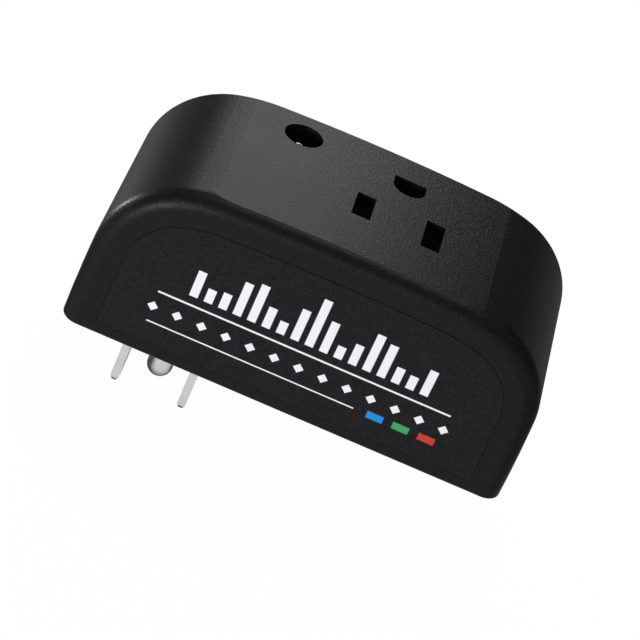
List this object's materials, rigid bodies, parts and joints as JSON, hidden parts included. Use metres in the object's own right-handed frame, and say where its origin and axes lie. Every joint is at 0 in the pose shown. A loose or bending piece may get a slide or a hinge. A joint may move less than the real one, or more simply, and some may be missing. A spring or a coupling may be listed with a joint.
{
  "type": "ground loop isolator",
  "caption": "Plug-in mains ground loop isolator: an arched black housing with prongs beneath, and an outlet and a recessed indicator on its crown.",
  "frame": {"origin": "centre of the base face that lies against the wall plate", "axes": "+Z out of the wall plate and out of the outlet, +X along the housing from the plug's end to the outlet's end, -Y towards the labelled face"},
  "size_m": [0.0804, 0.039, 0.0548],
  "materials": {
    "housing": "black moulded ABS with a fine spark grain",
    "label": "black printed polyester film, smooth satin",
    "base_plastic": "black moulded ABS, fine matt grain",
    "plated_prong": "nickel-plated brass, satin",
    "insulator": "black glass-filled nylon, dull",
    "carrier": "black glass-filled polyester, dull",
    "spring_bronze": "phosphor bronze sheet, bright",
    "strap_brass": "brass strip, rolled",
    "zinc_screw": "zinc-plated steel",
    "lead_sleeve": "green insulation with a yellow stripe",
    "board": "glass epoxy with green solder mask",
    "bridge_body": "black moulded epoxy on tinned leads",
    "film_box": "yellow plastic box on tinned leads",
    "varistor_coat": "blue epoxy coat on tinned leads",
    "bleed_coat": "beige lacquer with colour bands, on tinned leads",
    "resistor_coat": "light blue lacquer with colour bands, on tinned leads",
    "diode_body": "black moulded body with a pale band, on tinned leads",
    "led_lens": "cast epoxy lens, water clear, on tinned leads",
    "spacer": "natural nylon"
  },
  "bodies": {
    "root": {"housing_shell": "housing", "base_plate": "base_plastic", "base_screws": "zinc_screw", "front_label": "label", "line_blade": "plated_prong", "neutral_blade": "plated_prong", "ground_pin": "plated_prong", "prong_retainer": "insulator", "retainer_screws": "zinc_screw", "contact_carrier": "carrier", "contact_cover": "carrier", "cover_screws": "zinc_screw", "line_contact": "spring_bronze", "neutral_contact": "spring_bronze", "ground_contact": "spring_bronze", "line_strap": "strap_brass", "neutral_strap": "strap_brass", "strap_rivets": "strap_brass", "ground_lead": "lead_sleeve", "circuit_board": "board", "board_screws": "zinc_screw", "bridge_rectifier": "bridge_body", "film_capacitor": "film_box", "surge_varistor": "varistor_coat", "bleed_resistor": "bleed_coat", "led_resistor": "resistor_coat", "led_diode": "diode_body", "indicator_led": "led_lens", "led_spacer": "spacer"}
  },
  "joints": []
}
